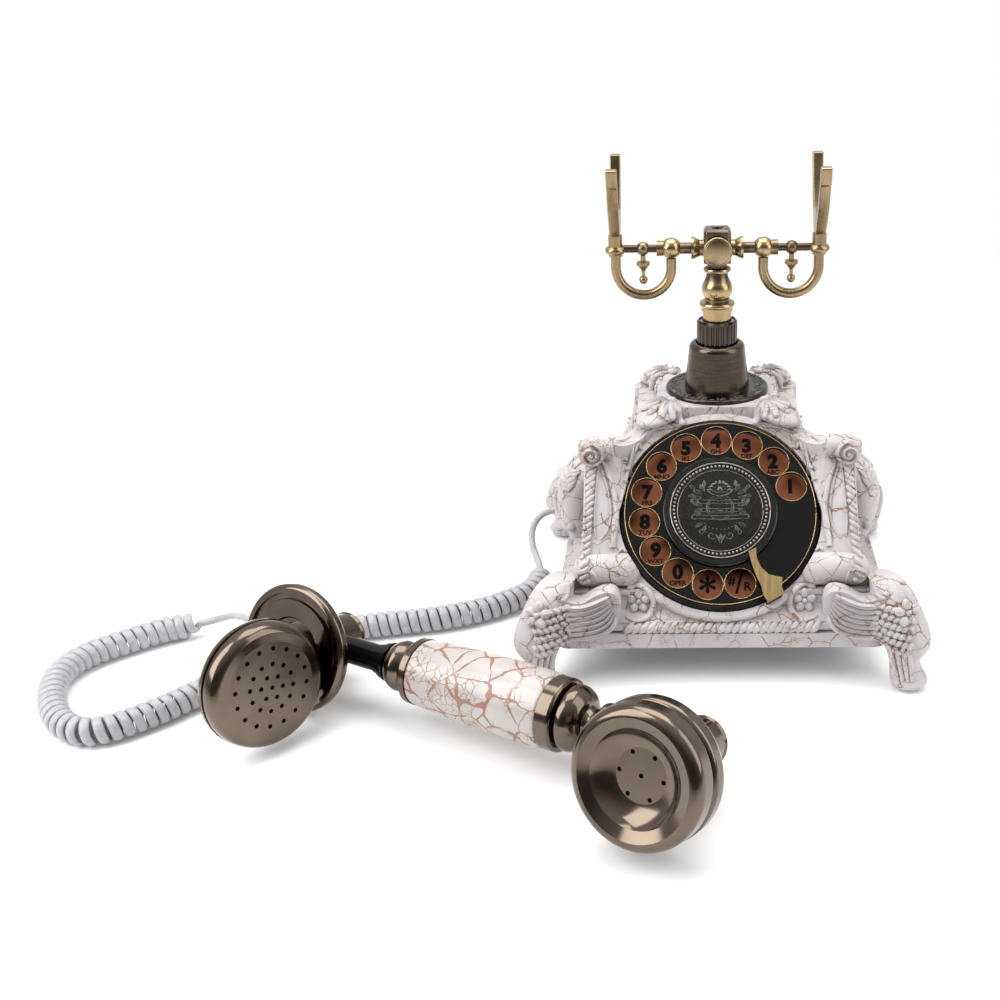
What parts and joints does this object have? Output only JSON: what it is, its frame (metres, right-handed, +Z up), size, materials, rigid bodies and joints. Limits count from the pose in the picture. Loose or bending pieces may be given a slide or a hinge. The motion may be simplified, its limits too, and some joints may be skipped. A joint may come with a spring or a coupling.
{
  "type": "desk telephone",
  "caption": "Ornate desk telephone with a rotary dial, a sprung two-fork cradle on a tall column and a corded handset lying beside it.",
  "frame": {"origin": "On the table, below the middle of the box round the telephone and its handset; the cradle's column stands 62 mm to +X and 84 mm to +Y of it.", "axes": "+Z up, the dial faces -Y, and +X is to the right seen from the dial's side."},
  "size_m": [0.4158, 0.3139, 0.2236],
  "materials": {
    "painted_resin": "off-white crackle paint with copper-brown cracks",
    "grip_paint": "glossy white crackle lacquer over copper",
    "antique_brass": "brushed antique brass",
    "dark_bronze": "brushed dark bronze plating",
    "gunmetal": "polished gunmetal plating",
    "black_wheel": "glossy black with a fine brass edge",
    "copper_plate": "satin copper-brown print plate",
    "etched_nickel": "blackened etched metal",
    "bright_brass": "polished brass",
    "steel": "plain steel",
    "nylon": "moulded nylon",
    "rubber": "soft rubber",
    "circuit_board": "glass-fibre board",
    "black_plastic": "moulded plastic",
    "cord_jacket": "satin lilac-grey cord jacket"
  },
  "bodies": {
    "phone_base": {"housing": "painted_resin", "base_plate": "steel", "base_plate_screws": "steel", "foot_pads": "rubber", "main_board": "circuit_board", "hook_switch": "black_plastic", "ringer": "black_plastic", "line_socket": "black_plastic", "handset_socket": "black_plastic", "number_plate": "copper_plate", "dial_bezel": "black_wheel", "dial_can": "steel", "finger_stop": "bright_brass", "stand_flange": "dark_bronze", "stand_cup": "dark_bronze", "fluted_collar": "gunmetal", "guide_tube": "bright_brass", "tube_nut": "bright_brass", "cradle_spring": "steel", "cord_coil": "cord_jacket", "cord_tail_base": "cord_jacket", "cord_tail_handset": "cord_jacket", "cord_plug": "cord_jacket"},
    "dial": {"finger_wheel": "black_wheel", "centre_ring": "etched_nickel", "medallion": "etched_nickel", "dial_shaft": "steel", "dial_gear": "nylon"},
    "governor": {"governor_pinion": "nylon"},
    "cradle": {"cradle_column": "antique_brass", "cross_hub": "antique_brass", "hub_caps": "antique_brass", "left_arm": "antique_brass", "right_arm": "antique_brass", "left_hook": "antique_brass", "right_hook": "antique_brass", "fork_posts": "antique_brass", "left_fork": "antique_brass", "right_fork": "antique_brass", "finials": "antique_brass"},
    "handset": {"grip": "grip_paint", "ferrule_left": "dark_bronze", "ball_collar_left": "dark_bronze", "handle_tube_left": "gunmetal", "ferrule_right": "dark_bronze", "collar_right": "dark_bronze", "tie_rod": "steel", "barrel_left": "dark_bronze", "barrel_right": "dark_bronze", "end_caps": "dark_bronze", "ring_housing": "dark_bronze", "mouth_neck": "dark_bronze", "mouth_cup": "dark_bronze", "mouth_cap": "dark_bronze", "microphone": "black_plastic", "ear_shell": "dark_bronze", "ear_cap": "dark_bronze", "speaker": "black_plastic", "cord_ferrule": "gunmetal"}
  },
  "joints": [
    {"name": "dial_turn", "type": "hinge", "parent": "phone_base", "child": "dial", "pos_m": [0.062, 0.018, 0.0728], "axis": [0, 0.7266, -0.6871], "range_deg": [0, 320], "stiffness_Nm_per_rad": 0.01, "springref_deg": -85.94},
    {"name": "governor_spin", "type": "hinge", "parent": "phone_base", "child": "governor", "pos_m": [0.062, 0.03689, 0.09278], "axis": [0, 0.7266, -0.6871], "range_deg": [-1290, 10]},
    {"name": "cradle_press", "type": "slide", "parent": "phone_base", "child": "cradle", "axis": [0, 0, -1], "range_m": [0, 0.005], "stiffness_N_per_m": 350, "springref_m": -0.014, "deforming": ["cradle_spring"]},
    {"name": "handset_lift", "type": "slide", "parent": "phone_base", "child": "handset", "axis": [0, 0, 1], "range_m": [0, 0.15]}
  ],
  "couplings": [
    {"joint": "governor_spin", "follows": "dial_turn", "ratio": -4}
  ]
}
